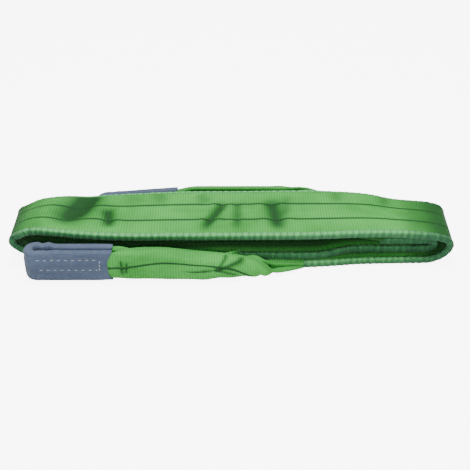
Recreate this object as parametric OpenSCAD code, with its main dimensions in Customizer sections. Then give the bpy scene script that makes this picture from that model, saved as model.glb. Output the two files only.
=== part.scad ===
// Flat web sling, two plies, folded into a hank that lies on its bottom run.
// X runs along the hank, Y from front to rear, Z up. The floor is Z = 0.

/* [Webbing] */
// width over both edge seams
web_w = 60; // [56:1:64]
// thickness of one ply
ply_t = 2.9; // [2.5:0.1:3]
// thickness of the overcast thread on each edge
seam_t = 0.6; // [0.4:0.1:0.8]

/* [Hank] */
// length of the folded hank, end to end
hank_l = 399; // [394:1:406]
// degrees by which the middle of the top run leans, its rear edge higher
lean = 12; // [8:1:13]

/* [Eyes] */
// height of the folded webbing standing on edge
eye_h = 26; // [24:0.5:27]
// clear gap between the two sleeved legs of an eye
eye_gap = 6; // [5.2:0.2:6.4]
// distance of each eye from the middle plane of the hank
eye_y = 42.4; // [42.4:0.1:46]
// tip of the front eye, measured to the left of the middle
front_tip = 181.5; // [176:0.5:190]
// tip of the rear eye, measured to the left of the middle
rear_tip = 128.6; // [118:0.2:132]
// height of the rear eye above the floor
rear_z = 8.9; // [8:0.1:9.6]

/* [Wear sleeves] */
// wall of the sleeve fabric
sleeve_t = 0.85; // [0.7:0.05:0.9]
// length of sleeve on each leg, measured from the tip
sleeve_l = 78; // [66:1:90]
// height of the lower row of stitches above the sleeve's bottom
row_low = 12; // [8:0.5:13]
// height of the upper row of stitches above the sleeve's bottom
row_high = 22; // [18:0.5:24]

/* [Label] */
// length of the label along the strap
label_l = 26; // [24:1:28]
// width of the label across the strap
label_w = 46; // [36:1:50]

/* [Hidden] */
$fn = 64;

green = [0.42, 0.66, 0.40];
dark_green = [0.24, 0.42, 0.25];
grey_blue = [0.38, 0.44, 0.53];
pale = [0.85, 0.86, 0.84];
label_blue = [0.20, 0.38, 0.66];

ply_gap = 0.2;
body_t = 2 * ply_t + ply_gap;
half_w = web_w / 2 - seam_t;
lay_gap = 0.8;
slot_h = 2.2;
tip_x = hank_l / 2 - body_t / 2;
run4_z = body_t / 2;
run3_z = run4_z + body_t + lay_gap;
run2_z = run3_z + body_t + slot_h;
run1_z = run2_z + body_t + 6;
mid_z = (run1_z + run4_z) / 2;
front_root_x = 62;
rear_root_x = 134;

// centre line of the strap from the front root to the rear root:
// [x, z, middle of the width in y, lean in degrees]
strap = [
  [front_root_x, run4_z, -4, 0], [85, run4_z, -2, 0], [110, run4_z, 1, 0], [135, run4_z, 2.2, 0],
  [160, run4_z, 3, 0], [171, run4_z, 3.3, 0], [179, run4_z + 0.4, 3.6, 0],
  [tip_x - 8, run4_z + 4, 4, 0], [tip_x - 2.4, mid_z - 4.2, 4, 0], [tip_x, mid_z + 1.6, 4, 0],
  [tip_x - 2.6, mid_z + 6.6, 4, 0], [tip_x - 9, run1_z - 4.2, 4, 0], [180, run1_z - 2, 4, 0],
  [170, run1_z - 0.6, 4, 0], [150, run1_z + 1.4, 4, lean * 0.04], [120, run1_z + 5.2, 3, lean * 0.58],
  [70, run1_z + 7, 0.2, lean], [0, run1_z + 6.8, -0.6, lean], [-50, run1_z + 6.4, -0.6, lean * 0.97],
  [-90, run1_z + 5.2, -0.4, lean * 0.8], [-125, run1_z + 4, 1, lean * 0.46],
  [-150, run1_z + 3.4, 3, lean * 0.12], [-168, run1_z + 2.4, 4, -lean * 0.2],
  [-178, run1_z + 0.4, 4, -lean * 0.5], [12.5 - tip_x, run1_z - 2.2, 4, -lean * 0.65],
  [4 - tip_x, mid_z + 8, 4, -lean * 0.65], [-tip_x, mid_z + 5, 3.6, -lean * 0.6],
  [2.6 - tip_x, mid_z + 0.6, 3.5, -lean * 0.5], [9 - tip_x, run4_z + 9, 3.5, -lean * 0.35],
  [-178, run4_z + 5.4, 3.4, -lean * 0.2], [-168, run4_z + 2.6, 3, -lean * 0.08],
  [-140, run4_z, 0.6, 0], [-110, run4_z + 0.3, 0, 0], [-20, run3_z, 0, 0], [30, run3_z, 0, 0],
  [72, run3_z, 0.8, 0], [86, run3_z, 5, 0], [100, run3_z, 9.4, 0], [116, run3_z, 11.2, 0],
  [150, run3_z, 11.4, 0], [170, run3_z + 0.1, 11.6, 0], [177.5, run3_z + 0.6, 11.8, 0],
  [182, run3_z + 2.2, 12, 0], [183.8, run3_z + 5, 12, 0], [182, run2_z - 0.7, 12.1, 0],
  [177, run2_z + 0.1, 12.2, 0], [168, run2_z, 12.3, 0], [150, run2_z, 12.4, 0],
  [rear_root_x, run2_z, 12.4, 0]];

// smooth curve through the listed points, four steps from one to the next
steps = 4;
function at(list, i) = list[max(0, min(len(list) - 1, i))];
function mix(a, b, c, d, t) = 0.5 * (2 * b + (c - a) * t + (2 * a - 5 * b + 4 * c - d) * t * t
  + (3 * b - a - 3 * c + d) * t * t * t);
path = [for (i = [0 : len(strap) - 2], k = [0 : steps - 1])
  mix(at(strap, i - 1), at(strap, i), at(strap, i + 1), at(strap, i + 2), k / steps), at(strap, len(strap) - 1)];
function unit(v) = v / norm(v);
function heading(i) = let (a = path[max(0, i - 1)], b = path[min(len(path) - 1, i + 1)])
  unit([b[0] - a[0], b[1] - a[1]]);

// a bar of w0..w1 across the strap and n0..n1 out from its centre line, carried along the path
module strap_bar(w0, w1, n0, n1) {
  last = len(path) - 1;
  points = [for (i = [0 : last]) let (p = path[i], h = heading(i), c = cos(p[3]), s = sin(p[3]))
    for (q = [[w0, n0], [w1, n0], [w1, n1], [w0, n1]])
      [p[0] + q[1] * h[1], p[2] + q[0] * c, p[1] - q[1] * h[0] + q[0] * s]];
  sides = [for (i = [0 : last - 1], k = [0 : 3]) let (a = 4 * i + k, b = 4 * i + (k + 1) % 4)
    each (k < 2 ? [[a, b, b + 4], [a, b + 4, a + 4]] : [[a, b, a + 4], [b, b + 4, a + 4]])];
  polyhedron(points, concat([[3, 2, 1, 0]], sides, [[for (k = [0 : 3]) 4 * last + k]]));
}

module outer_ply() {
  color(green) strap_bar(-half_w, half_w, ply_gap / 2, body_t / 2);
}

module inner_ply() {
  color(dark_green) strap_bar(-half_w, half_w, -body_t / 2, -ply_gap / 2);
}

module front_edge_seam() {
  color(green) strap_bar(-web_w / 2, -half_w - 0.05, -body_t * 0.4, body_t * 0.4);
}

module rear_edge_seam() {
  color(green) strap_bar(half_w + 0.05, web_w / 2, -body_t * 0.4, body_t * 0.4);
}

// stitched frame with a cross, lying flat
module tack_box(l, w, t) {
  linear_extrude(t) {
    difference() {
      square([l, w], center = true);
      square([l - 2, w - 2], center = true);
    }
    intersection() {
      square([l, w], center = true);
      for (a = [-1, 1]) rotate(a * atan2(w, l)) square([2 * l, 1], center = true);
    }
  }
}

module front_splice_thread() {
  color(pale) translate([front_root_x + 24, -2, body_t + 0.05]) tack_box(34, 34, 0.5);
}

module rear_splice_thread() {
  color(pale) translate([rear_root_x + 13, 12.4, run2_z + body_t / 2 + 0.08]) tack_box(22, 40, 0.4);
}

module identity_label() {
  color(label_blue)
    translate([rear_root_x + 1, 12.4 - label_w / 2, run2_z - body_t / 2 - 0.45])
      cube([label_l, label_w, 0.4]);
}

module label_thread() {
  color(pale) translate([rear_root_x + 1 + label_l / 2, 12.4, run2_z - body_t / 2 - 0.85]) linear_extrude(0.35)
    difference() {
      square([label_l - 5, label_w - 6], center = true);
      square([label_l - 6.6, label_w - 7.6], center = true);
    }
}

// the eye in plan: legs from x0 to the round tip, between radius r0 and r1 of the bight
leg_t = body_t + 0.2;
leg_off = eye_gap / 2 + sleeve_t + 0.25 + leg_t / 2;
r_web = leg_off + leg_t / 2;
r_sleeve = r_web + 0.25 + sleeve_t;
module hairpin(x0, xc, r0, r1, h) {
  linear_extrude(h) difference() {
    union() {
      translate([xc, 0]) circle(r1);
      translate([xc, -r1]) square([x0 - xc, 2 * r1]);
    }
    translate([xc, 0]) circle(r0);
    translate([xc, -r0]) square([x0 - xc + 1, 2 * r0]);
  }
}

web_base = sleeve_t + 0.2;
module eye_web(x0, tip) {
  xc = r_sleeve - tip;
  color(green) translate([0, 0, web_base]) difference() {
    hairpin(x0, xc, leg_off - leg_t / 2, r_web, eye_h);
    // the slit between the two halves of the folded webbing
    translate([0, 0, ply_t]) hairpin(x0 + 1, xc, leg_off - 0.15, leg_off + 0.15, eye_h);
  }
}

module sleeve(tip) {
  xc = r_sleeve - tip;
  full_h = eye_h + 2 * web_base;
  color(grey_blue) difference() {
    hairpin(sleeve_l - tip, xc, eye_gap / 2, r_sleeve, full_h);
    translate([0, 0, sleeve_t])
      hairpin(sleeve_l - tip + 1, xc, eye_gap / 2 + sleeve_t, r_sleeve - sleeve_t, full_h - 2 * sleeve_t);
  }
}

module sleeve_stitches(tip) {
  xc = r_sleeve - tip;
  x0 = sleeve_l - tip - 10;
  color(pale) {
    for (z = [row_low, row_high]) translate([0, 0, z - 0.45]) hairpin(x0, xc, r_sleeve + 0.02, r_sleeve + 0.5, 0.9);
    for (s = [-1, 1]) translate([x0 - 0.9, s > 0 ? r_sleeve + 0.02 : -r_sleeve - 0.5, row_low])
      cube([0.9, 0.48, row_high - row_low]);
  }
}

// throat: a flat tapering root, which turns into two legs that stand on edge
module throat(plan, plate_z, x_in, x_out, y, z) {
  color(green) {
    translate([0, 0, plate_z]) linear_extrude(body_t - 0.4) polygon(plan);
    for (s = [-1, 1]) translate([x_out, y + s * leg_off - leg_t / 2, z + web_base])
      cube([x_in - x_out, leg_t, eye_h]);
    translate([x_in - 6, y - leg_off, z + web_base]) cube([6, 2 * leg_off, eye_h * 0.6]);
  }
}

bend_x = -50;
rear_bend_x = 0;
module front_throat_web() {
  throat([[front_root_x - 0.2, -4 - half_w], [front_root_x - 0.2, -4 + half_w], [8, r_web - eye_y],
    [-4, r_web - eye_y], [-4, -eye_y - r_web]], 0.2, 12, bend_x, -eye_y, 0);
}

module rear_throat_web() {
  throat([[rear_root_x - 0.2, 12.4 - half_w], [62, eye_y - r_web], [50, eye_y - r_web],
    [50, eye_y + r_web], [rear_root_x - 0.2, 12.4 + half_w]], run2_z - body_t / 2 + 0.2, 66, rear_bend_x,
    eye_y, rear_z);
}

module front_eye_web() {
  translate([0, -eye_y, 0]) eye_web(bend_x - 0.3, front_tip);
}

module front_wear_sleeve() {
  translate([0, -eye_y, 0]) sleeve(front_tip);
}

module front_sleeve_thread() {
  translate([0, -eye_y, 0]) sleeve_stitches(front_tip);
}

module rear_eye_web() {
  translate([0, eye_y, rear_z]) eye_web(rear_bend_x - 0.3, rear_tip);
}

module rear_wear_sleeve() {
  translate([0, eye_y, rear_z]) sleeve(rear_tip);
}

module rear_sleeve_thread() {
  translate([0, eye_y, rear_z]) sleeve_stitches(rear_tip);
}

outer_ply();
inner_ply();
front_edge_seam();
rear_edge_seam();
front_splice_thread();
rear_splice_thread();
identity_label();
label_thread();
front_throat_web();
rear_throat_web();
front_eye_web();
front_wear_sleeve();
front_sleeve_thread();
rear_eye_web();
rear_wear_sleeve();
rear_sleeve_thread();
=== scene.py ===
import math
import bpy
import numpy as np
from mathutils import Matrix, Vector


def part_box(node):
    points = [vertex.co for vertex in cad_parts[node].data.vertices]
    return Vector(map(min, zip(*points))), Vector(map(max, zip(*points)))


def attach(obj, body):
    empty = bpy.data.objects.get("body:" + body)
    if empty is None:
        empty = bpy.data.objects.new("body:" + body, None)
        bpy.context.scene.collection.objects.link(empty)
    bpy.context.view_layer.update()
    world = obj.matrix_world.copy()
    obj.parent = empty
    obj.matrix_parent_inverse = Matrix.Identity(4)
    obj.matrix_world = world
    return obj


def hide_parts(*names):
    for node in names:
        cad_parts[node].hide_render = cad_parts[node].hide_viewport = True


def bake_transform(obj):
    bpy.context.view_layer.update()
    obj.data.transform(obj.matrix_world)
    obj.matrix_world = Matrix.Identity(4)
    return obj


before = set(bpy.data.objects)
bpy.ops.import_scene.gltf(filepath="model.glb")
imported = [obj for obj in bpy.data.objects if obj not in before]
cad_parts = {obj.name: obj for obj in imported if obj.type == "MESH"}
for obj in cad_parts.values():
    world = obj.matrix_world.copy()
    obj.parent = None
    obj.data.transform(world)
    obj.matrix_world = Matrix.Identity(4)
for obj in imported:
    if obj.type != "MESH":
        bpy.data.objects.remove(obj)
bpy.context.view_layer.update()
mm = 0.001

# camera first: in front of the hank and above it, level, with a short telephoto lens
view = {"aim": (0.0036, -0.008, 0.019), "elevation": 33.0, "distance": 0.86, "lens": 72.5}
up = math.radians(view["elevation"])
cameraData = bpy.data.cameras.new("camera")
cameraData.lens = view["lens"]
cameraData.sensor_width = 36
camera = bpy.data.objects.new("camera", cameraData)
bpy.context.scene.collection.objects.link(camera)
aim = Vector(view["aim"])
camera.location = aim + view["distance"] * Vector((0, -math.cos(up), math.sin(up)))
camera.rotation_euler = (math.pi / 2 - up, 0, 0)
bpy.context.scene.camera = camera


# a solid's lowest and highest corner, in millimetres, as every size below
def boxOf(node):
    low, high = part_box(node)
    return np.array(low) * 1000, np.array(high) * 1000


plyLow, plyHigh = boxOf("outer_ply")
frontLow, frontHigh = boxOf("front_wear_sleeve")
rearLow = boxOf("rear_wear_sleeve")[0]
frontRootX = boxOf("front_throat_web")[1][0] + 0.2
rearRootX = boxOf("rear_throat_web")[1][0] + 0.2

# webbing: full width, half of a ply's width, thickness of a ply and how many points it has across, gap
# between the plies, and how far the outer ply's face stands off the strap's centre line at the loops
web = {"width": 60.0, "half": 29.3, "ply": 2.75, "points": 34, "plyGap": 0.12, "step": 3.0}
layZ = {"four": 3.0, "three": 9.8, "two": 18.0, "one": 30.0}  # heights of the runs' centre lines
eyeY = -(frontLow[1] + frontHigh[1]) / 2  # both eyes stand this far from the hank's middle plane
tipX = (plyHigh[0] - plyLow[0]) / 2 - web["step"]  # the centre line's ends at the loops
midZ = (layZ["one"] + layZ["four"]) / 2  # half way up the loops
print("sizes read", eyeY, tipX, frontRootX, rearRootX)


# rounded curve through rows of numbers: each new row mixes the four rows round it (Catmull-Rom)
def curveThrough(rows, steps):
    rows = np.asarray(rows, float)
    before = np.concatenate([rows[:1], rows[:-2]])
    after = np.concatenate([rows[2:], rows[-1:]])
    a, b = rows[:-1], rows[1:]
    t = (np.arange(steps) / steps).reshape((1, steps) + (1,) * (rows.ndim - 1))
    a, b, before, after = (m[:, None] for m in (a, b, before, after))
    inner = 0.5 * (2 * a + (b - before) * t + (2 * before - 5 * a + 4 * b - after) * t ** 2
                   + (3 * a - before - 3 * b + after) * t ** 3)
    return np.concatenate([inner.reshape((-1,) + rows.shape[1:]), rows[-1:]])


# the same curve with its rows evenly spaced: distance run along the first three columns sets the spacing
def evenly(curve, spacing, axis=3):
    gaps = np.linalg.norm(np.diff(curve[:, :axis], axis=0), axis=1)
    run = np.concatenate([[0], np.cumsum(gaps)])
    count = int(run[-1] / spacing) + 1
    at = np.linspace(0, run[-1], count)
    flat = curve.reshape(len(curve), -1)
    out = np.stack([np.interp(at, run, flat[:, k]) for k in range(flat.shape[1])], 1)
    return out.reshape((count,) + curve.shape[1:]), at


# a vector divided by its length
def unit(v):
    return v / np.maximum(np.linalg.norm(v, axis=-1, keepdims=True), 1e-9)


# a hill of height one: one over e at the distance given as reach
def hill(d, reach):
    return np.exp(-(d / reach) ** 2)


# smooth step from 0 to 1 between a and b
def ramp(x, a, b):
    t = np.clip((x - a) / (b - a), 0, 1)
    return t * t * (3 - 2 * t)


# gentle unevenness: a sum of a few sine waves with fixed, seeded directions
waves = np.random.default_rng(7).uniform(-1, 1, (14, 4))


def uneven(a, b, size):
    total = 0
    for w in waves:
        total = total + np.sin((a * w[0] * 2 + b * w[1] * 2) / size * 2 + w[2] * 9) * (0.5 + 0.5 * w[3])
    return total / 7


# a mesh from rings of points: quads between the rings, a fan over each end; turned if it faces inward
def ringMesh(name, rings, along, across, shade=None, caps=True, closed=True):
    count, size = rings.shape[:2]
    index = np.arange(count * size).reshape(count, size)
    nxt = np.roll(index, -1, axis=1)
    if not closed:
        index, nxt = index[:, :-1], nxt[:, :-1]
    quads = np.stack([index[:-1], nxt[:-1], nxt[1:], index[1:]], -1).reshape(-1, 4)
    points = rings.reshape(-1, 3)
    along = np.broadcast_to(along, (count, size)).reshape(-1)
    across = np.broadcast_to(across, (count, size)).reshape(-1)
    shade = np.zeros(count * size) if shade is None else np.broadcast_to(shade, (count, size)).reshape(-1)
    tris = np.zeros((0, 3), int)
    if caps:
        first, last = len(points), len(points) + 1
        full = np.arange(count * size).reshape(count, size)
        points = np.concatenate([points, [rings[0].mean(0)], [rings[-1].mean(0)]])
        along = np.concatenate([along, [along[0], along[-1]]])
        across = np.concatenate([across, [across[:size].mean(), across[-size:].mean()]])
        shade = np.concatenate([shade, [shade[0], shade[-1]]])
        turned = np.roll(full, -1, axis=1)
        tris = np.concatenate([
            np.stack([turned[0], full[0], np.full(size, first)], 1),
            np.stack([full[-1], turned[-1], np.full(size, last)], 1)])
    p = points[quads]
    volume = np.einsum("ij,ij->i", p[:, 0], np.cross(p[:, 1], p[:, 2]) + np.cross(p[:, 2], p[:, 3])).sum()
    if volume < 0:
        quads, tris = quads[:, ::-1], tris[:, ::-1]
    return loadMesh(name, points * mm, [quads, tris], along * mm, across * mm, shade)


# puts whole arrays of points and faces in a new mesh, with its strap coordinates and shade
def loadMesh(name, points, faceSets, along, across, shade):
    mesh = bpy.data.meshes.new(name)
    mesh.vertices.add(len(points))
    mesh.vertices.foreach_set("co", points.astype(np.float32).ravel())
    loops = np.concatenate([f.ravel() for f in faceSets])
    sizes = np.concatenate([np.full(len(f), f.shape[1] if len(f) else 0) for f in faceSets]).astype(int)
    mesh.loops.add(len(loops))
    mesh.loops.foreach_set("vertex_index", loops.astype(np.int32))
    mesh.polygons.add(len(sizes))
    mesh.polygons.foreach_set("loop_start", np.concatenate([[0], np.cumsum(sizes)[:-1]]).astype(np.int32))
    mesh.polygons.foreach_set("use_smooth", np.ones(len(sizes), bool))
    uv = mesh.uv_layers.new(name="strap")
    uv.data.foreach_set("uv", np.stack([along[loops], across[loops]], 1).astype(np.float32).ravel())
    tone = mesh.attributes.new("shade", "FLOAT", "POINT")
    tone.data.foreach_set("value", np.asarray(shade, np.float32))
    mesh.update(calc_edges=True)
    mesh.validate()
    piece = bpy.data.objects.new(name, mesh)
    bpy.context.scene.collection.objects.link(piece)
    return piece


# section of one ply: across the strap and out of it, flat on both faces with round edges
def plySection(half, thick, count):
    r = thick / 2
    flat = np.linspace(-(half - r), half - r, count)
    turn = np.linspace(-90, 90, 7)[1:-1] * math.pi / 180
    w = np.concatenate([flat, half - r + r * np.cos(turn), flat[::-1], -(half - r) - r * np.cos(turn)])
    n = np.concatenate([np.full(count, -r), r * np.sin(turn), np.full(count, r), -r * np.sin(turn)])
    return w, n


# the strap's centre line: x, height, middle of the width, lean in degrees; first the bottom run and the
# right loop, then the top run, the left loop, the run back, the hairpin and the run to the rear throat
lean = 12.0
lineStep = 1.1
four, three, two, one = (layZ[k] for k in ("four", "three", "two", "one"))
strap = [
    [frontRootX, four, -4, 0], [85, four, -2, 0], [110, four, 1, 0], [135, four, 2.2, 0],
    [160, four, 3, 0], [171, four, 3.3, 0], [179, four + 0.4, 3.6, 0],
    [tipX - 8, four + 4, 4, 0], [tipX - 2.4, midZ - 4.2, 4, 0], [tipX, midZ + 1.6, 4, 0],
    [tipX - 2.6, midZ + 6.6, 4, 0], [tipX - 9, one - 4.2, 4, 0], [180, one - 2, 4, 0],
    [170, one - 0.6, 4, 0], [150, one + 1.4, 4, lean * 0.04], [120, one + 5.2, 3, lean * 0.58],
    [70, one + 7, 0.2, lean], [0, one + 6.8, -0.6, lean], [-50, one + 6.4, -0.6, lean * 0.97],
    [-90, one + 5.2, -0.4, lean * 0.8], [-125, one + 4, 1, lean * 0.46],
    [-150, one + 4, 3, lean * 0.2], [-168, one + 3.6, 4, -lean * 0.06],
    [-178, one + 2.2, 4, -lean * 0.25], [13 - tipX, one + 0.2, 4, -lean * 0.4],
    [5.5 - tipX, midZ + 9.6, 4, -lean * 0.45], [1.6 - tipX, midZ + 5.4, 3.6, -lean * 0.45],
    [2.6 - tipX, midZ + 0.6, 3.5, -lean * 0.5], [9 - tipX, four + 9, 3.5, -lean * 0.35],
    [-178, four + 5.4, 3.4, -lean * 0.2], [-168, four + 2.6, 3, -lean * 0.08],
    [-140, four, 0.6, 0], [-110, four + 0.3, 0, 0], [-20, three, 0, 0], [30, three, 0, 0],
    [72, three, 0.8, 0], [86, three, 5, 0], [100, three, 9.4, 0], [116, three, 11.2, 0],
    [150, three, 11.4, 0], [170, three + 0.1, 11.6, 0], [177.5, three + 0.6, 11.8, 0],
    [182, three + 2.2, 12, 0], [183.8, three + 5, 12, 0], [182, two - 0.7, 12.1, 0],
    [177, two + 0.1, 12.2, 0], [168, two, 12.3, 0], [150, two, 12.4, 0],
    [rearRootX, two, 12.4, 0]]
line, run = evenly(curveThrough(strap, 30)[:, [0, 2, 1, 3]], lineStep)
centre = line[:, :3]
heading = unit(np.gradient(centre, axis=0))
tilt = np.radians(line[:, 3])[:, None]
sideways = np.concatenate([np.zeros_like(tilt), np.cos(tilt), np.sin(tilt)], 1)
sideways = unit(sideways - heading * (sideways * heading).sum(1, keepdims=True))
outward = np.cross(sideways, heading)
onTop = ramp(run, 150, 175) * (1 - ramp(run, 560, 585))  # 1 along the top run, by distance run
topRun = (outward[:, 2] > 0.8) & (centre[:, 2] > one - 5)  # face up, and high

# soft creases in the top run: start and end (x, across), depth, half width, in mm
creases = [
    (-133, 34, -152, -18, 3.0, 10.5), (-112, 6, -108, -19, 1.5, 4.2), (-29, 24, -22, 11, 0.6, 4.6),
    (-6, 12, -25, -22, 1.9, 3.4), (6, 13, 5, -22, 0.8, 3.0), (36, 16, 43, -24, 2.0, 5.6),
    (52, 20, 49, -6, 0.5, 3.0), (99, 32, 97, 12, 0.5, 4.5), (143, 32, 141, 12, 0.6, 4.5),
    (-68, 30, -62, 12, 0.4, 4.0), (-126, 30, -140, -8, 0.7, 7.0), (-86, 24, -96, 8, 0.25, 6.0)]
rollDown = 1.3  # how far the edges of the top run roll down


# how far the strap stands in or out of its centre line at a distance run and a place across:
# each crease is a hill turned down across its line, with a low bank on each side, faded past its ends
def strapLift(x, across, top):
    drop = np.zeros(np.broadcast(x, across).shape)
    dark = np.zeros_like(drop)
    for x0, w0, x1, w1, depth, reach in creases:
        dx, dw = x1 - x0, w1 - w0
        size = math.hypot(dx, dw)
        t = ((x - x0) * dx + (across - w0) * dw) / size ** 2
        d = ((x - x0) * dw - (across - w0) * dx) / size
        shown = ramp(t, -0.12, 0.18) * (1 - ramp(t, 0.72, 1.15))
        fade = shown * (1 - 0.8 * ramp(across, 14, 27))
        banks = 0.45 * hill(np.abs(d) - 2 * reach, reach)
        drop = drop + depth * (banks - hill(d, reach)) * fade
        # painted shade: each crease also darkens the colour along its line, where it would hold shade
        dark = dark + min(depth / 1.2, 1) * hill(d, reach * 1.5) * shown
    soft = 0.35 * uneven(x, across * 0.7, 60) + 0.12 * uneven(x, across, 17)
    edge = -rollDown * ramp(np.abs(across), 22, 30)
    rest = 0.1 * uneven(x, across, 23)
    return (drop + soft + edge) * top + rest * (1 - top), np.clip(dark, 0, 1) * top


loops = {"rightFan": 1.2, "leftFan": 3.0}  # how much longer each loop is at its rear edge


# the loops' extra length: a shift in x that grows evenly across the width
def fan(x, w):
    rear = 0.5 + w / web["width"]
    return rear * (loops["rightFan"] * ramp(x, 150, 192) - loops["leftFan"] * ramp(-x, 165, 196))


# painted shade on the loops' ends, where the strap turns away from the light: a rise towards each end of the
# hank
def turned(x):
    right = 0.56 * ramp(x, 146, 170) + 0.42 * ramp(x, 168, 188)
    left = 0.38 * ramp(-x, 160, 182) + 0.58 * ramp(-x, 180, 194)
    return right + left


# places on the strap: its centre line, plus w along its width and n with the lift along its outward side
def strapPoints(w, n):
    x = centre[:, :1]
    lift, dark = strapLift(x, w, topRun[:, None] * onTop[:, None])
    points = centre[:, None] + sideways[:, None] * w[..., None] + outward[:, None] * (n + lift)[..., None]
    points[..., 0] += fan(x, w)
    # the colour's painted shade: the creases' shade, and the loops' ends darkened where they turn away from
    # the light
    return points, np.maximum(dark, turned(x) * (0.92 + 0.08 * uneven(x, w, 12)))


# one ply: its section carried along the strap, at an offset to its outer or inner side
def makePly(name, offset):
    w, n = plySection(web["half"], web["ply"], web["points"])
    w = np.broadcast_to(w, (len(run), len(w)))
    points, dark = strapPoints(w, n + offset)
    # the inner side of the loop sees little light: deeper with distance in from the open edges
    hidden = (n < 0) * (offset < 0) * (0.12 + 0.8 * ramp(30 - np.abs(w), 7, 15))
    return ringMesh(name, points, run[:, None], w, np.maximum(dark, hidden))


# overcast seam: stitch pitch, its middle across the strap, half sizes across and out, wall, ring spacing,
# how much a stitch swells it each way, and points on its half round
seam = {"pitch": 5.7, "middle": 26.6, "wide": 3.0, "thick": 2.96, "wall": 0.7, "step": 0.55,
        "swellWide": 0.45, "swellThick": 0.34, "arc": 13}


# overcast edge: a bead round both plies that swells with each stitch and where the threads cross, its
# section half of a rounded square between an outer and an inner wall
def makeEdge(name, side):
    turn = np.radians(np.linspace(-92, 92, seam["arc"]))
    turn = np.concatenate([turn, turn[::-1]])
    deep = np.concatenate([np.zeros(seam["arc"]), np.full(seam["arc"], seam["wall"])])
    fine = np.linspace(0, run[-1], int(run[-1] / seam["step"]))
    beat = fine[:, None] / seam["pitch"] + 0.07 * np.sin(fine[:, None] / 13)
    scallop = (0.5 + 0.5 * np.cos(2 * math.pi * (beat + turn / 16))) ** 0.7
    cross = np.maximum(np.cos(2 * math.pi * (beat * 2 + turn / 3.4)),
                       np.cos(2 * math.pi * (beat * 2 - turn / 3.4)))
    ends = ramp(fine, 0, 9) * (1 - ramp(fine, run[-1] - 9, run[-1]))
    swell = (0.62 * scallop + 0.38 * (0.5 + 0.5 * cross)) * (1 - deep) * (0.3 + 0.7 * ends[:, None])
    swell = swell * (0.85 + 0.15 * np.sin(fine[:, None] * 0.71))
    c, s = np.cos(turn), np.sin(turn)
    w = seam["middle"] + (seam["wide"] - deep + swell * seam["swellWide"]) * np.sign(c) * np.abs(c) ** 0.55
    n = (seam["thick"] - deep * 0.5 + swell * seam["swellThick"]) * np.sign(s) * np.abs(s) ** 0.5
    w = side * w
    base, side3, out3 = (np.stack([np.interp(fine, run, v[:, k]) for k in range(3)], 1)
                         for v in (centre, sideways, outward))
    side3, out3 = unit(side3), unit(out3)
    top = np.interp(fine, run, topRun * onTop)[:, None]
    lift = strapLift(base[:, :1], w, top)[0]
    points = base[:, None] + side3[:, None] * w[..., None] + out3[:, None] * (n + lift)[..., None]
    points[..., 0] += fan(base[:, :1], w)
    # painted light and shade: paler where it faces up, dark where it faces down, where it lies between the
    # other runs and at the loops' ends, and darker between the swells of the stitches
    facing = 0.5 + 0.5 * (side * c * side3[:, None, 2] + s * out3[:, None, 2])
    between = 1 - 0.55 * ramp(fine, run[-1] - 300, run[-1] - 240)[:, None]
    tone = (0.35 + 0.65 * swell) * (0.1 + 0.9 * facing ** 1.8) * between * (1 - 0.75 * turned(base[:, :1]))
    return ringMesh(name, points, fine[:, None], w, np.clip(tone, 0, 1))


plyOffset = web["ply"] / 2 + web["plyGap"] / 2
outerPly = makePly("outerPly", plyOffset)
innerPly = makePly("innerPly", -plyOffset)
frontEdge = makeEdge("frontEdgeSeam", -1)
rearEdge = makeEdge("rearEdgeSeam", 1)
print("strap made, run length", run[-1])

# eyes: at each x, places out from the middle plane and heights at seven places across the webbing; the far
# leg is away from the hank and the near leg beside it. side and tip place an eye, base is where its heights
# start, droop how far it hangs at its tip, edgeX where its folded legs begin, shift how far the fold lies
# off the middle of the webbing, slope how much lower its legs get at the throat, settle how far they drop
legOff = 7.2
acrossAt = np.linspace(-30, 30, 13)
frontEye = {
    "name": "frontEye", "side": -1, "tip": frontLow[0], "base": 1.05, "droop": 0.0, "edgeX": -20.0,
    "shift": 12.0, "slope": 0.3, "settle": 1.0,
    "far": [(frontRootX + 3, [33.4, 23.6, 13.8, 4, -5.8, -15.6, -25.4], [1.55] * 7),
            (40, [45.6, 38, 28.4, 18.6, 8.8, -1, -10.8], [5, 1.9, 1.6, 1.55, 1.55, 1.55, 1.55]),
            (30, [43.5, 47.4, 39, 29.2, 19.4, 9.6, -0.2], [11, 3, 1.7, 1.6, 1.6, 1.6, 1.6]),
            (20, [39, 46.4, 49, 41, 31, 21, 12], [14, 11, 3.2, 1.6, 1.6, 1.6, 1.7]),
            (0, [38, 45, 50.5, 50, 43, 36, 33], [17.5, 17.5, 11.5, 3, 1.8, 4.5, 12])],
    "near": [(frontRootX + 3, [-25.4, -15.6, -5.8, 4, 13.8, 23.6, 33.4], [4.5] * 7),
             (40, [-21, -11, -1, 9, 19, 28.5, 36.5], [4.6, 4.6, 4.6, 4.6, 4.7, 5.2, 6.4]),
             (30, [-9, 1, 11, 20.8, 30.4, 38, 38.6], [4.6, 4.6, 4.6, 4.7, 5.3, 7.6, 11.6]),
             (20, [3, 13, 23, 32, 39.5, 41.5, 36], [4.6, 4.6, 4.7, 4.9, 6.8, 12, 14.6]),
             (0, [33, 34, 35, 38.5, 43.5, 45, 42.5], [16.5, 13, 8.5, 4.9, 6.5, 11.5, 15.5])]}
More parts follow.
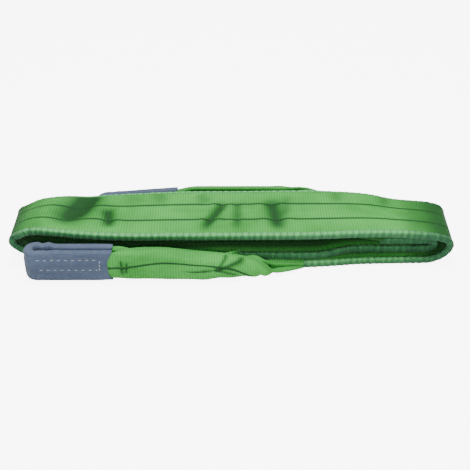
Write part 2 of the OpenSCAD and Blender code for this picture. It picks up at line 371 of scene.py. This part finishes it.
rearEye = {
    "name": "rearEye", "side": 1, "tip": rearLow[0], "base": rearLow[2] + 1.05, "droop": 8.6, "edgeX": 50.0,
    "shift": 4.0, "slope": 0.0, "settle": 0.0,
    "far": [(rearRootX + 3, [41.8, 32, 22.2, 12.4, 2.6, -7.2, -17], [19.3] * 7),
            (111, [47, 39, 29.5, 20, 10, 0.5, -9], [17.5, 19, 19.3, 19.3, 19.3, 19.3, 19.3]),
            (92, [50.5, 52.5, 46, 37, 28, 18.5, 9], [26, 18, 13, 15.5, 18.7, 19.3, 19.3]),
            (71, [52, 53, 52, 45.5, 38, 32.5, 29], [33, 24, 16, 11.8, 13, 18, 25])],
    "near": [(rearRootX + 3, [-17, -7.2, 2.6, 12.4, 22.2, 32, 41.8], [22.3] * 7),
             (111, [-10.5, -1, 9, 18.5, 28, 37.5, 45.5], [22.3, 22.3, 22.3, 22.3, 22.3, 22, 20.5]),
             (92, [6, 15.5, 25, 33.5, 41, 46.5, 47.5], [22.3, 22.3, 22.2, 20, 18, 22.5, 30]),
             (71, [32.5, 33.5, 35, 39.5, 44.5, 46, 46.5], [32, 24, 17, 14.5, 17, 25.5, 33.5])]}


tipRound = 11.4  # from an eye's tip to the middle of its round end
legRows = 12  # rows along each straight leg


# plan of an eye: far leg, round tip and near leg as x, out from the middle plane, and which way is outward
def eyePlan(eye):
    middle = eye["tip"] + tipRound
    leg = np.linspace(eye["edgeX"], middle + 6, legRows)
    turn = np.radians(np.linspace(0, 180, 17)[1:-1])
    flat = np.ones(legRows)
    x = np.concatenate([leg, middle - legOff * np.sin(turn), leg[::-1]])
    ox = np.concatenate([0 * flat, -np.sin(turn), 0 * flat])
    oy = np.concatenate([flat, np.cos(turn), -flat])
    return x, eyeY + legOff * oy, ox, oy


# section of a folded leg by distance from the fold at the bottom: the outer half rises, and what is
# longer than the leg is high rolls over the top and down inside
foldAt = np.array([-46, -41, -36, -31, -27.5, -24, -14, -5, 0, 5, 14, 24, 27.0])
foldOut = np.array([0.3, 0.3, 0.4, 0.7, 1.7, 2.6, 3.0, 2.5, 0, -2.5, -3.0, -2.8, -2.7])
foldUp = np.array([9, 14, 19, 23.6, 25.6, 23, 13.2, 4.4, 1.5, 4.4, 13.2, 22.6, 25.0])
flapOut = np.array([-14.8, -10, -5, -0.4, 1.7, 2.6, 3.0, 2.5, 0, -2.5, -3.0, -2.8, -2.7])
flapUp = np.array([25.8, 26.6, 27.0, 26.6, 25.4, 23, 13.2, 4.4, 1.5, 4.4, 13.2, 21, 22.5])
fineAt, fineOut, fineUp = curveThrough(np.stack([foldAt, foldOut, foldUp], 1), 8).T
flapAt, flapOut, flapUp = curveThrough(np.stack([foldAt, flapOut, flapUp], 1), 8).T


# how far an eye hangs down: nothing up to 30 mm behind the middle, then evenly to its tip
def sagOf(eye, x):
    t = np.clip((-30 - x) / (-30 - eye["tip"]), 0, 1)
    return eye["droop"] * t ** 1.1


# how far the near leg's top leans across to the far leg; two short stretches by the tip stay open
def closing(eye, x, high):
    fromTip = x - eye["tip"]
    part = ramp(fromTip, 4, 16) * (1 - 0.8 * hill(fromTip - 11, 3.5) - 0.8 * hill(fromTip - 21, 3.5))
    return (3.4 + 2.6 * ramp(fromTip, 70, 95)) * part * high


# the given rows at thirteen places across: the same rounded curve through their seven
def widen(rows):
    return np.array([curveThrough(np.stack([np.full(7, x), out, up], -1), 2) for x, out, up in rows])


# all rows of an eye, from its far root round the tip to its near root: on the legs and the tip, the folded
# section is looked up by distance from the fold and carried along the plan; inside the sleeve it is squeezed
def eyeRows(eye):
    x, y, ox, oy = eyePlan(eye)
    fromTip = x - eye["tip"]
    far = np.arange(len(x)) < legRows + 4  # the far leg and the start of the round end
    shift = np.where(far, eye["shift"] * (0.3 + 0.7 * ramp(x, -104, -48)), 2.0)
    d = np.minimum(acrossAt[None] - shift[:, None], foldAt[-1])
    opened = (far * ramp(fromTip, 77, 86))[:, None]
    out = np.interp(d, fineAt, fineOut) * (0.5 + 0.5 * ramp(x, -110, -80))[:, None]
    out = out + (np.interp(d, flapAt, flapOut) - out) * opened
    rise = np.interp(d, fineAt, fineUp)
    rise = rise + (np.interp(d, flapAt, flapUp) - rise) * opened
    lower = eye["slope"] * ramp(x, eye["tip"] + 90, eye["edgeX"] + 15)
    nearDrop = np.where(far, 0, 0.1 * ramp(fromTip, 76, 96))
    squeeze = 0.9 + 0.1 * ramp(fromTip, 74, 80)
    rise = rise * ((1 - nearDrop) * (1 - lower) * squeeze)[:, None]
    share = np.where(far, -0.288, 1) * np.abs(oy)  # the near leg does most of the leaning
    lean = (share * closing(eye, x, 1))[:, None] * rise / 26
    low = eye["base"] - sagOf(eye, x) - eye["settle"] * ramp(fromTip, 78, 92)
    legs = np.stack([x[:, None] + ox[:, None] * out, y[:, None] + oy[:, None] * out + lean,
                     low[:, None] + rise], -1)
    rows = np.concatenate([widen(eye["far"]), legs, widen(eye["near"])[::-1]])
    rows[..., 1] *= eye["side"]
    return rows


rowStep = 3.6  # spacing of a sheet's rows, measured over all their places at once


# thick sheet from rows of points: the middle surface, then both faces half a thickness away along its
# normal, and a half round along each long edge
def makeSheet(name, rows, thick, shadeOf):
    values = 3 * len(acrossAt)
    rows = evenly(curveThrough(rows, 12).reshape(-1, values), rowStep, values)[0]
    rows = rows.reshape(-1, len(acrossAt), 3)
    mid = np.swapaxes(curveThrough(np.swapaxes(rows, 0, 1), 4), 0, 1)
    across = curveThrough(acrossAt[:, None], 4)[:, 0]
    alongWay = unit(np.gradient(mid, axis=0))
    acrossWay = unit(np.gradient(mid, axis=1))
    normal = unit(np.cross(alongWay, acrossWay))
    steps = np.linalg.norm(np.diff(mid[:, len(across) // 2], axis=0), axis=1)
    along = np.concatenate([[0], np.cumsum(steps)])
    shift, dark = shadeOf(mid, across[None, :])
    mid = mid + normal * shift[..., None]
    r = thick / 2
    turn = np.radians([-60, -30, 0, 30, 60])
    aside, out = 0.8 * r * np.cos(turn)[:, None], r * np.sin(turn)[:, None]
    edgeHigh = mid[:, -1:] + acrossWay[:, -1:] * aside + normal[:, -1:] * out
    edgeLow = mid[:, :1] - acrossWay[:, :1] * aside - normal[:, :1] * out
    rings = np.concatenate([mid - normal * r, edgeHigh, (mid + normal * r)[:, ::-1], edgeLow], 1)
    v = np.concatenate([across, np.full(5, across[-1]), across[::-1], np.full(5, across[0])])
    dark = np.concatenate([dark, dark[:, -1:].repeat(5, 1), dark[:, ::-1], dark[:, :1].repeat(5, 1)], 1)
    return ringMesh(name, rings, along[:, None], v, dark)


# dents in the eyes' outer faces: start and end (x, height), depth, half width
dents = {
    "frontEye": [(-95.5, 22, -94.5, 7, 2.2, 1.5), (-90.5, 20, -91.5, 8, 2.0, 1.4),
                 (-68, 5.5, -12, 12, 1.6, 1.8), (-14, 12, 12, 16, 2.2, 1.8),
                 (-14, 12, 0, 22, 1.4, 1.4), (-14, 12, 6, 6, 1.4, 1.5)],
    "rearEye": [(-30, 30, -24, 16, 0.8, 2.0), (10, 28, 16, 14, 1.0, 2.2), (-10, 16, 30, 20, 1.2, 2.0)]}


# an eye's dents: each a hill turned inward across its line, with painted shade along it; the rear throat has
# painted shade where it lies under the top run
def dentsOf(name, side):
    def shift(mid, across):
        x, height = mid[..., 0], mid[..., 2]
        drop, dark = np.zeros(x.shape), np.zeros(x.shape)
        for x0, z0, x1, z1, depth, reach in dents[name]:
            dx, dz = x1 - x0, z1 - z0
            size = math.hypot(dx, dz)
            t = ((x - x0) * dx + (height - z0) * dz) / size ** 2
            d = ((x - x0) * dz - (height - z0) * dx) / size
            fade = ramp(t, -0.1, 0.15) * (1 - ramp(t, 0.8, 1.1))
            fade = fade * (across < 0) * (mid[..., 1] * side > eyeY)
            drop = drop + depth * hill(d, reach) * fade
            dark = dark + min(depth / 1.6, 1) * hill(d, reach * 0.8) * fade
        soft = 0.15 * uneven(x, height * 2, 30)
        under = 0.85 * ramp(30 - mid[..., 1], 0, 10) * ramp(x, 40, 60) * (side > 0)
        return drop + soft, np.clip(np.maximum(dark, under), 0, 1)
    return shift


frontEyeWeb, rearEyeWeb = (
    makeSheet(eye["name"] + "Web", eyeRows(eye), web["ply"], dentsOf(eye["name"], eye["side"]))
    for eye in (frontEye, rearEye))
print("eyes made")

# wear sleeves: a flattened tube round the folded webbing, carried from one mouth round the tip to the other;
# bow is how far the mouths curve in, square and flat shape the tube's section, rows are the stitch heights
sleeve = {"length": float(frontHigh[0] - frontLow[0]), "height": 28.1, "half": 4.2, "wall": 0.85,
          "bow": 4.6, "square": 0.28, "flat": 0.36, "rows": (12.0, 22.0), "steps": 190, "around": 72}


# place on a sleeve: distance run from the far mouth, angle round the tube, and how far in from the outside;
# the section is a rounded box, its run a straight, a half circle and a straight
def sleevePoint(eye, runAt, angle, inset):
    middle = eye["tip"] + tipRound
    straight = eye["tip"] + sleeve["length"] - middle
    arc = math.pi * legOff
    total = 2 * straight + arc
    c, s = np.cos(angle), np.sin(angle)
    up = 0.5 + 0.5 * np.sign(s) * np.abs(s) ** sleeve["square"]
    z = inset + up * (sleeve["height"] - 2 * inset)
    mouth = sleeve["bow"] * np.sin(math.pi * np.clip(up, 0, 1)) ** 0.8
    fromEnd = np.minimum(runAt, total - runAt)
    move = mouth * np.clip(1 - fromEnd / 14, 0, 1)
    at = np.where(runAt < total / 2, runAt + move, runAt - move)
    turn = np.clip((at - straight) / arc, 0, 1) * math.pi
    x = middle - legOff * np.sin(turn) + np.where(at < straight, straight - at, 0)
    x = x + np.where(at > straight + arc, at - straight - arc, 0)
    outer = c >= 0
    swell = 0.35 * uneven(at, z * 1.5 + outer * 40, 24) + 0.45 * np.sin(math.pi * up)
    rowPinch = sum(0.35 * hill(z - r, 1.6) for r in sleeve["rows"])
    thick = sleeve["half"] - inset + np.where(outer, swell - rowPinch, swell)
    out = np.sign(c) * np.abs(c) ** sleeve["flat"] * thick
    nearSide = at > straight + arc / 2
    high = z / sleeve["height"]
    lean = closing(eye, middle + np.where(nearSide, at - straight - arc, straight - at), high)
    y = eyeY + (legOff + out) * np.cos(turn) + np.where(nearSide, lean, -0.3 * lean) * np.abs(np.cos(turn))
    x = x - out * np.sin(turn)
    z = z + 0.7 * (1 - up) * (1 - ramp(fromEnd, 0, 14))
    z = z + eye["base"] - 1.05 - sagOf(eye, x) + 0.3 * uneven(at, angle * 3, 30) * np.clip(s, 0, 1)
    return np.stack(np.broadcast_arrays(x, y * eye["side"], z), -1), total


# a sleeve: its outside from mouth to mouth, then its inside back again, closed into one wall
def makeSleeve(name, eye):
    total = sleevePoint(eye, np.zeros(1), np.zeros(1), 0)[1]
    runs = np.linspace(0, total, sleeve["steps"])
    angle = np.linspace(0, 2 * math.pi, sleeve["around"] + 1)[:-1] + 0.01
    outer = sleevePoint(eye, runs[:, None], angle[None], 0.0)[0]
    inside = sleevePoint(eye, runs[:, None], angle[None], sleeve["wall"])[0]
    rings = np.concatenate([outer, inside[::-1]])
    points = rings.reshape(-1, 3)
    index = np.arange(len(points)).reshape(len(rings), -1)
    index = np.concatenate([index, index[:1]])
    nxt = np.roll(index, -1, axis=1)
    quads = np.stack([index[:-1], nxt[:-1], nxt[1:], index[1:]], -1).reshape(-1, 4)
    p = points[quads]
    volume = np.einsum("ij,ij->i", p[:, 0], np.cross(p[:, 1], p[:, 2]) + np.cross(p[:, 2], p[:, 3])).sum()
    if volume < 0:
        quads = quads[:, ::-1]
    around = np.broadcast_to(angle * 10.5, rings.shape[:2])
    along = np.broadcast_to(np.concatenate([runs, runs[::-1]])[:, None], around.shape)
    return loadMesh(name, points * mm, [quads], along.ravel() * mm, around.ravel() * mm,
                    np.zeros(len(points)))


frontSleeve = makeSleeve("frontSleeve", frontEye)
rearSleeve = makeSleeve("rearSleeve", rearEye)


# many short stitches in one mesh: each a small rounded bar bent into the cloth at both ends
def makeStitches(name, ends, lift, wide):
    ends = np.asarray(ends, float)
    a, b, out = ends[:, 0], ends[:, 1], unit(ends[:, 2])
    way = unit(b - a)
    aside = np.cross(out, way)
    t = np.linspace(0, 1, 7)
    bow = np.sin(math.pi * t) ** 0.6
    ring = np.radians(np.arange(8) * 45.0)
    middle = a[:, None] + (b - a)[:, None] * t[:, None] + out[:, None] * (bow * lift - 0.25)[:, None]
    thick = wide * (0.35 + 0.65 * bow)
    rings = (middle[:, :, None] + aside[:, None, None] * (np.cos(ring) * thick[:, None])[..., None]
             + out[:, None, None] * (np.sin(ring) * thick[:, None] * 0.7)[..., None])
    n = len(ends)
    index = np.arange(n * 56).reshape(n, 7, 8)
    nxt = np.roll(index, -1, axis=2)
    quads = np.stack([index[:, :-1], nxt[:, :-1], nxt[:, 1:], index[:, 1:]], -1).reshape(-1, 4)
    caps = np.concatenate([index[:, 0], index[:, -1, ::-1]])
    points = rings.reshape(-1, 3)
    return loadMesh(name, points * mm, [quads[:, ::-1], caps], points[:, 0] * mm, points[:, 2] * mm,
                    np.zeros(len(points)))


# sleeve seams: pitch and length of a stitch, where each row starts and stops from its mouth, how much later
# every second row starts, and the end bar's place, pitch and stitch length
sleeveSeam = {"pitch": 6.1, "stitch": 3.5, "start": 11.5, "stop": 65.0, "stagger": 2.2,
              "bar": 9.4, "barPitch": 3.6, "barStitch": 3.0, "rise": 0.45, "thread": 0.55}


# angle round the tube at which its outer side has this height: the section's curve turned round
def angleAt(height):
    s = 2 * height / sleeve["height"] - 1
    return math.asin(np.sign(s) * abs(s) ** (1 / sleeve["square"]))


# two rows of stitches along each outer side of a sleeve, and a bar between them near each mouth
def sleeveStitches(name, eye):
    total = sleevePoint(eye, np.zeros(1), np.zeros(1), 0)[1]
    seat = eyeY * eye["side"]
    start, stop = sleeveSeam["start"], sleeveSeam["stop"]
    ends = []
    for k, height in enumerate(sleeve["rows"]):
        angle = angleAt(height)
        for first, last in ((start, stop), (total - stop, total - start)):
            at = np.arange(first + k * sleeveSeam["stagger"], last, sleeveSeam["pitch"])
            a = sleevePoint(eye, at, np.full(len(at), angle), 0)[0]
            b = sleevePoint(eye, at + sleeveSeam["stitch"], np.full(len(at), angle), 0)[0]
            away = np.sign((a[:, 1] + b[:, 1]) / 2 - seat)
            ends += [(p, q, (0, o, 0)) for p, q, o in zip(a, b, away)]
    low, high = sleeve["rows"]
    for at in (sleeveSeam["bar"], total - sleeveSeam["bar"]):
        for z in np.arange(low - 0.8, high, sleeveSeam["barPitch"]):
            a, b = (sleevePoint(eye, np.array([at]), np.array([angleAt(height)]), 0)[0][0]
                    for height in (z, z + sleeveSeam["barStitch"]))
            ends.append((a, b, (0, np.sign(a[1] - seat), 0)))
    return makeStitches(name, ends, sleeveSeam["rise"], sleeveSeam["thread"])


frontStitches = sleeveStitches("frontSleeveStitches", frontEye)
rearStitches = sleeveStitches("rearSleeveStitches", rearEye)


# stitched boxes: stitch pitch, the part of it that shows, rise and thread, and the heights they lie at
tack = {"pitch": 3.4, "shown": 0.82, "rise": 0.25, "thread": 0.32, "inset": 0.5, "labelInset": 0.4,
        "frontZ": layZ["four"] + 2.95, "rearZ": layZ["two"] + 5.75}


# stitched box with a cross on a flat face, inside a thread node's box: short bars end to end on each line
def tackBox(name, node, inset, z, out):
    (x0, y0, _), (x1, y1, _) = boxOf(node) + np.array([[inset], [-inset]])
    corner = np.array([[x0, y0], [x1, y0], [x1, y1], [x0, y1]])
    ends = []
    for i, j in ((0, 1), (1, 2), (2, 3), (3, 0), (0, 2), (1, 3)):
        p, way = corner[i], corner[j] - corner[i]
        count = int(np.linalg.norm(way) / tack["pitch"])
        for k in range(count):
            a, b = p + way * k / count, p + way * (k + tack["shown"]) / count
            ends.append(((*a, z), (*b, z), (0, 0, out)))
    return makeStitches(name, ends, tack["rise"], tack["thread"])


frontSplice = tackBox("frontSpliceStitches", "front_splice_thread", tack["inset"], tack["frontZ"], 1)
rearSplice = tackBox("rearSpliceStitches", "rear_splice_thread", tack["inset"], tack["rearZ"], 1)
labelLow, labelHigh = boxOf("identity_label")


# label: a thin sheet, slightly rippled by a few waves, between its upper and its lower face
def makeLabel():
    u = np.linspace(labelLow[0], labelHigh[0], 60)
    v = np.linspace(labelLow[1], labelHigh[1], 40)
    x, y = np.meshgrid(u, v, indexing="ij")
    z = labelHigh[2] - 0.1 + 0.08 * uneven(x, y, 12)
    top = np.stack([x, y, z + 0.05], -1)
    low = np.stack([x, y, z - 0.25], -1)
    rings = np.concatenate([top, low[:, ::-1]], 1)
    return ringMesh("identityLabel", rings, x[:, :1], np.concatenate([y, y[:, ::-1]], 1))


label = makeLabel()
labelStitches = tackBox("labelStitches", "label_thread", tack["labelInset"], labelLow[2] - 0.02, -1)
print("sleeves, stitches and label made")


# an empty material with its shader linked to its output
def nodesOf(name):
    mat = bpy.data.materials.new(name)
    mat.use_nodes = True
    tree = mat.node_tree
    tree.nodes.clear()
    out = tree.nodes.new("ShaderNodeOutputMaterial")
    shader = tree.nodes.new("ShaderNodeBsdfPrincipled")
    tree.links.new(shader.outputs[0], out.inputs[0])
    return mat, tree, shader


# short names for the nodes below: along and across are the strap coordinates in metres
class Graph:
    def __init__(self, tree):
        self.tree = tree
        uv = tree.nodes.new("ShaderNodeUVMap")
        uv.uv_map = "strap"
        split = tree.nodes.new("ShaderNodeSeparateXYZ")
        tree.links.new(uv.outputs[0], split.inputs[0])
        self.uv, self.along, self.across = uv.outputs[0], split.outputs[0], split.outputs[1]

    def put(self, socket, value):
        if hasattr(value, "is_output"):
            self.tree.links.new(value, socket)
        else:
            socket.default_value = value

    def math(self, kind, a, b=0.0, c=0.0):
        node = self.tree.nodes.new("ShaderNodeMath")
        node.operation = kind
        for socket, value in zip(node.inputs, (a, b, c)):
            self.put(socket, value)
        return node.outputs[0]

    def mix(self, factor, a, b):
        node = self.tree.nodes.new("ShaderNodeMix")
        node.data_type = "RGBA"
        self.put(node.inputs["Factor"], factor)
        self.put(node.inputs[6], a)
        self.put(node.inputs[7], b)
        return node.outputs[2]

    def ramp(self, value, low, high):
        node = self.tree.nodes.new("ShaderNodeMapRange")
        node.interpolation_type = "SMOOTHSTEP"
        for key, v in (("Value", value), ("From Min", low), ("From Max", high)):
            self.put(node.inputs[key], v)
        return node.outputs[0]

    def noise(self, scale, detail, stretch=(1, 1, 1)):
        place = self.tree.nodes.new("ShaderNodeMapping")
        place.inputs["Scale"].default_value = stretch
        self.tree.links.new(self.uv, place.inputs[0])
        node = self.tree.nodes.new("ShaderNodeTexNoise")
        node.inputs["Scale"].default_value = scale
        node.inputs["Detail"].default_value = detail
        self.tree.links.new(place.outputs[0], node.inputs["Vector"])
        return node.outputs[0]

    def attribute(self, name):
        node = self.tree.nodes.new("ShaderNodeAttribute")
        node.attribute_name = name
        return node.outputs["Fac"]

    def bump(self, height, strength, distance, shader):
        node = self.tree.nodes.new("ShaderNodeBump")
        node.inputs["Strength"].default_value = strength
        node.inputs["Distance"].default_value = distance
        self.tree.links.new(height, node.inputs["Height"])
        self.tree.links.new(node.outputs[0], shader.inputs["Normal"])


# a wave from 0 to 1 with the given pitch in metres
def wave(g, value, pitch):
    return g.math("MULTIPLY_ADD", g.math("SINE", g.math("MULTIPLY", value, 2 * math.pi / pitch)), 0.5, 0.5)


# weave, in metres: the dark lines' distance from the middle, pitch of the cross ribs and of the warp
weave = {"line": 0.0099, "rib": 0.0024, "warp": 0.00115}


# webbing: two dark woven lines at a third and two thirds of the width, cross ribs, fine warp lines
def webbing(name, light, dark, deep):
    mat, tree, shader = nodesOf(name)
    g = Graph(tree)
    fromLine = g.math("ABSOLUTE", g.math("SUBTRACT", g.math("ABSOLUTE", g.across), weave["line"]))
    stripe = g.math("SUBTRACT", 1.0, g.ramp(fromLine, 0.0005, 0.0016))
    sway = g.math("MULTIPLY", wave(g, g.along, 0.0031), 0.00035)
    warp = wave(g, g.math("ADD", g.across, sway), weave["warp"])
    skew = g.math("MULTIPLY", wave(g, g.across, 0.0023), 0.0003)
    rib = wave(g, g.math("ADD", g.along, skew), weave["rib"])
    patch = g.noise(14, 4, (1, 2, 1))
    fine = g.noise(160, 3, (0.35, 1, 1))
    edge = g.ramp(g.math("ABSOLUTE", g.across), 0.0245, 0.0285)
    tone = g.mix(g.ramp(patch, 0.3, 0.72), dark, light)
    tone = g.mix(g.math("MULTIPLY", g.math("POWER", rib, 2.0), 0.34), tone, deep)
    tone = g.mix(g.math("MULTIPLY", warp, 0.14), tone, deep)
    tone = g.mix(g.math("MULTIPLY", g.ramp(fine, 0.35, 0.8), 0.25), tone, light)
    tone = g.mix(g.math("MULTIPLY", edge, 0.2), tone, deep)
    tone = g.mix(g.math("MULTIPLY", stripe, 0.92), tone, (0.008, 0.05, 0.012, 1))
    # painted shade: the shade attribute darkens the colour towards deep in the creases, at the loops' ends,
    # inside the loops, in the dents and under the top run
    tone = g.mix(g.math("MULTIPLY", g.attribute("shade"), 0.95), tone, deep)
    g.put(shader.inputs["Base Color"], tone)
    shader.inputs["Roughness"].default_value = 0.62
    shader.inputs["Specular IOR Level"].default_value = 0.25
    shader.inputs["Sheen Weight"].default_value = 0.1
    shader.inputs["Sheen Roughness"].default_value = 0.4
    shader.inputs["Sheen Tint"].default_value = (0.75, 1, 0.72, 1)
    relief = g.math("ADD", g.math("MULTIPLY", rib, 0.6), g.math("MULTIPLY", warp, 0.5))
    relief = g.math("ADD", relief, g.math("MULTIPLY", fine, 0.6))
    relief = g.math("SUBTRACT", relief, g.math("MULTIPLY", stripe, 0.7))
    g.bump(relief, 0.6, 0.0005, shader)
    return mat


# overcast thread: twisted fibres, with painted light and shade from the shade attribute: lighter on each
# stitch and where the bead faces up, dark between the stitches and where it faces down or lies in shade
def overcast(name, light, deep):
    mat, tree, shader = nodesOf(name)
    g = Graph(tree)
    # the shade attribute holds the bead's painted light and shade, not only its swell
    swell = g.attribute("shade")
    twist = wave(g, g.math("ADD", g.along, g.math("MULTIPLY", g.across, 0.8)), 0.0012)
    fine = g.noise(300, 2)
    tone = g.mix(g.ramp(swell, 0.0, 0.85), deep, light)
    tone = g.mix(g.math("MULTIPLY", twist, 0.22), tone, deep)
    tone = g.mix(g.math("MULTIPLY", g.ramp(fine, 0.4, 0.8), 0.2), tone, light)
    g.put(shader.inputs["Base Color"], tone)
    shader.inputs["Roughness"].default_value = 0.7
    shader.inputs["Specular IOR Level"].default_value = 0.3
    shader.inputs["Sheen Weight"].default_value = 0.2
    g.bump(g.math("ADD", twist, fine), 0.5, 0.0004, shader)
    return mat


# plain weave: crossing waves with a little wear
def cloth(name, light, dark, pitch, rough):
    mat, tree, shader = nodesOf(name)
    g = Graph(tree)
    weft, warp = wave(g, g.along, pitch), wave(g, g.across, pitch)
    cross = g.math("ADD", g.math("MULTIPLY", weft, 0.5), g.math("MULTIPLY", warp, 0.5))
    patch = g.noise(22, 5)
    fine = g.noise(240, 2)
    tone = g.mix(g.ramp(patch, 0.32, 0.7), dark, light)
    tone = g.mix(g.math("MULTIPLY", cross, 0.14), tone, (dark[0] * 0.5, dark[1] * 0.5, dark[2] * 0.5, 1))
    tone = g.mix(g.math("MULTIPLY", g.ramp(fine, 0.45, 0.8), 0.16), tone, (0.3, 0.34, 0.42, 1))
    g.put(shader.inputs["Base Color"], tone)
    shader.inputs["Roughness"].default_value = rough
    shader.inputs["Specular IOR Level"].default_value = 0.3
    shader.inputs["Sheen Weight"].default_value = 0.2
    g.bump(g.math("ADD", cross, fine), 0.5, 0.0003, shader)
    return mat


green = webbing("webbing", (0.105, 0.60, 0.10, 1), (0.058, 0.41, 0.055, 1), (0.002, 0.055, 0.007, 1))
edgeGreen = overcast("overcastThread", (0.15, 0.66, 0.19, 1), (0.014, 0.1, 0.038, 1))
blueGrey = cloth("sleeveCloth", (0.105, 0.145, 0.235, 1), (0.078, 0.11, 0.18, 1), 0.0011, 0.75)
paleThread = cloth("paleThread", (0.42, 0.47, 0.55, 1), (0.30, 0.34, 0.42, 1), 0.0009, 0.8)
labelCloth = cloth("labelCloth", (0.06, 0.16, 0.42, 1), (0.04, 0.12, 0.33, 1), 0.0008, 0.6)


print("materials made")


# gives a piece its material, and hides the nodes it stands for
def finishPiece(piece, mat, slotName, *nodes):
    piece.data.materials.clear()
    piece.data.materials.append(mat)
    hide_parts(*nodes)


finishPiece(outerPly, green, "webbing", "outer_ply")
finishPiece(innerPly, green, "webbing", "inner_ply")
finishPiece(frontEdge, edgeGreen, "webbing_edge", "front_edge_seam")
finishPiece(rearEdge, edgeGreen, "webbing_edge", "rear_edge_seam")
finishPiece(frontEyeWeb, green, "webbing", "front_eye_web", "front_throat_web")
finishPiece(rearEyeWeb, green, "webbing", "rear_eye_web", "rear_throat_web")
finishPiece(frontSleeve, blueGrey, "sleeve", "front_wear_sleeve")
finishPiece(rearSleeve, blueGrey, "sleeve", "rear_wear_sleeve")
finishPiece(frontStitches, paleThread, "thread", "front_sleeve_thread")
finishPiece(rearStitches, paleThread, "thread", "rear_sleeve_thread")
finishPiece(frontSplice, paleThread, "thread", "front_splice_thread")
finishPiece(rearSplice, paleThread, "thread", "rear_splice_thread")
finishPiece(label, labelCloth, "label", "identity_label")
finishPiece(labelStitches, paleThread, "thread", "label_thread")

for piece in (outerPly, innerPly, frontEdge, rearEdge, frontSplice, rearSplice, label, labelStitches):
    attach(piece, "hank")
for piece in (frontSleeve, frontStitches):
    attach(piece, "front_eye")
for piece in (rearSleeve, rearStitches):
    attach(piece, "rear_eye")
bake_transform(frontEyeWeb)
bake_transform(rearEyeWeb)


# studio: paleness that only the picture's own rays see, the world's faint light, the floor's size and height
studio = {"pale": 7.0, "worldLight": 0.09, "floor": 12.0, "floorZ": -0.0004}


# strength of a glow: base for light that falls on the sling, and base plus pale for what the picture sees
def paleGlow(tree, base, socket):
    seen = tree.nodes.new("ShaderNodeLightPath")
    glow = tree.nodes.new("ShaderNodeMath")
    glow.operation = "MULTIPLY_ADD"
    glow.inputs[1].default_value, glow.inputs[2].default_value = studio["pale"], base
    tree.links.new(seen.outputs["Is Camera Ray"], glow.inputs[0])
    tree.links.new(glow.outputs[0], socket)


# a level square
def addPlane(name, size, z, mat):
    mesh = bpy.data.meshes.new(name)
    s = size / 2
    mesh.from_pydata([(-s, -s, z), (s, -s, z), (s, s, z), (-s, s, z)], [], [(0, 1, 2, 3)])
    plane = bpy.data.objects.new(name, mesh)
    mesh.materials.append(mat)
    bpy.context.scene.collection.objects.link(plane)
    return plane


paper, tree, shader = nodesOf("paper")
shader.inputs["Base Color"].default_value = (0.93, 0.93, 0.93, 1)
shader.inputs["Roughness"].default_value = 0.9
shader.inputs["Emission Color"].default_value = (1, 1, 1, 1)
paleGlow(tree, 0.0, shader.inputs["Emission Strength"])
floor = addPlane("floor", studio["floor"], studio["floorZ"], paper)


# a rectangular light at a place, turned towards the sling
def addLight(name, place, size, power, toward=(0, 0, 0.02)):
    data = bpy.data.lights.new(name, "AREA")
    data.shape = "RECTANGLE"
    data.size, data.size_y = size
    data.energy = power
    lamp = bpy.data.objects.new(name, data)
    lamp.location = place
    lamp.rotation_euler = (Vector(toward) - Vector(place)).to_track_quat("-Z", "Y").to_euler()
    bpy.context.scene.collection.objects.link(lamp)


addLight("key", (0, 0.2, 1.5), (0.45, 0.8), 30)
addLight("front", (0, -1.5, 0.9), (0.5, 0.5), 15)
world = bpy.data.worlds.new("world")
bpy.context.scene.world = world
world.use_nodes = True
background = world.node_tree.nodes["Background"]
background.inputs[0].default_value = (1, 1, 1, 1)
paleGlow(world.node_tree, studio["worldLight"], background.inputs[1])

print("pieces placed")
